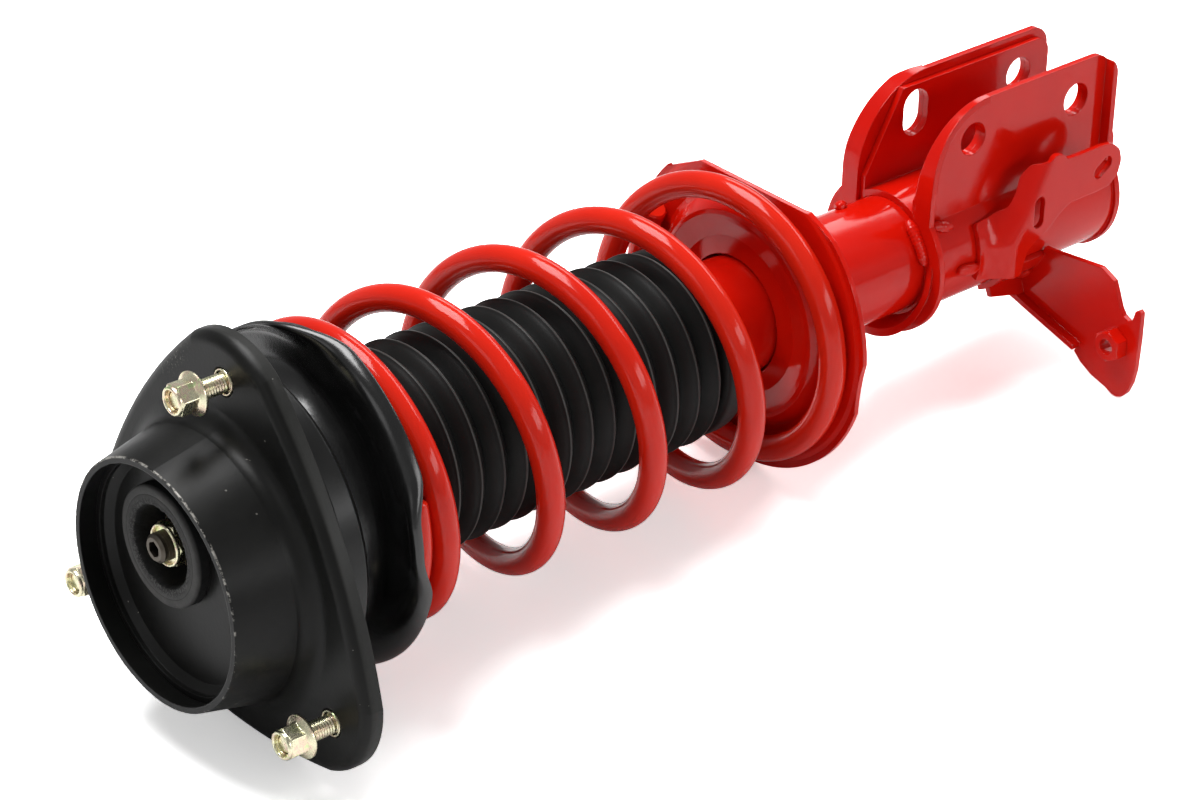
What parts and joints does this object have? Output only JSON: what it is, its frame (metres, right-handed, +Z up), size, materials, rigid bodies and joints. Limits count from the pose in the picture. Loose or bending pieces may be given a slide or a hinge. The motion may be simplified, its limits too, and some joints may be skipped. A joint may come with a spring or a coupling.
{
  "type": "strut assembly",
  "caption": "Front suspension strut with coil spring, bearing top mount, ribbed boot and clevis knuckle bracket, lying on its side.",
  "frame": {"origin": "bottom centre of the bounding box, with the strut lying on its side as in the picture", "axes": "+X along the strut from the top mount to the knuckle bracket; +Y across the knuckle bracket, along its bolt holes; +Z up"},
  "size_m": [0.519, 0.1776, 0.1701],
  "materials": {
    "spring_red": "gloss powder coat",
    "body_red": "gloss paint over welds",
    "mount_black": "satin coat, worn on the edges",
    "zinc_yellow": "yellow zinc passivate",
    "steel_bright": "hard chromed, ground and polished",
    "steel_machined": "machined and oiled",
    "rubber_black": "matte moulded rubber",
    "rubber_grey": "bonded rubber with dust",
    "foam_buff": "microcellular foam",
    "polymer_black": "filled low-friction polymer"
  },
  "bodies": {
    "strut": {"strut_tube": "body_red", "tube_base_cap": "body_red", "inner_cylinder": "steel_machined", "base_valve": "steel_machined", "rod_guide": "steel_machined", "rod_seal": "rubber_black", "gland_cap": "body_red", "lower_spring_seat": "body_red", "seat_support": "body_red", "knuckle_bracket": "body_red", "bracket_liner": "body_red", "sensor_bracket": "body_red", "hose_bracket": "body_red", "hose_bracket_nut": "body_red", "coil_spring": "spring_red"},
    "rod": {"piston_rod": "steel_bright", "rod_nut": "zinc_yellow", "rod_washer": "zinc_yellow", "bearing_inner_race": "steel_machined", "upper_spring_seat": "mount_black", "upper_spring_pad": "rubber_black", "bump_stop": "foam_buff", "dust_boot": "rubber_black", "rebound_stop": "rubber_black", "piston": "steel_machined", "piston_ring": "polymer_black", "piston_nut": "steel_machined"},
    "top_mount": {"mount_plate": "mount_black", "mount_pan": "mount_black", "mount_lower_shell": "mount_black", "mount_rubber": "rubber_grey", "rubber_collar": "rubber_grey", "bearing_outer_race": "steel_machined", "bearing_balls": "steel_bright", "mount_studs": "zinc_yellow", "flange_nuts": "zinc_yellow"}
  },
  "joints": [
    {"name": "rod_slide", "type": "slide", "parent": "strut", "child": "rod", "axis": [0.9989, 0, -0.0461], "range_m": [0, 0.11], "stiffness_N_per_m": 27000, "springref_m": -0.03, "deforming": ["coil_spring", "dust_boot"]},
    {"name": "mount_swivel", "type": "hinge", "parent": "rod", "child": "top_mount", "pos_m": [-0.22464, 0.00643, 0.08419], "axis": [0.9989, 0, -0.0461], "continuous": true}
  ]
}
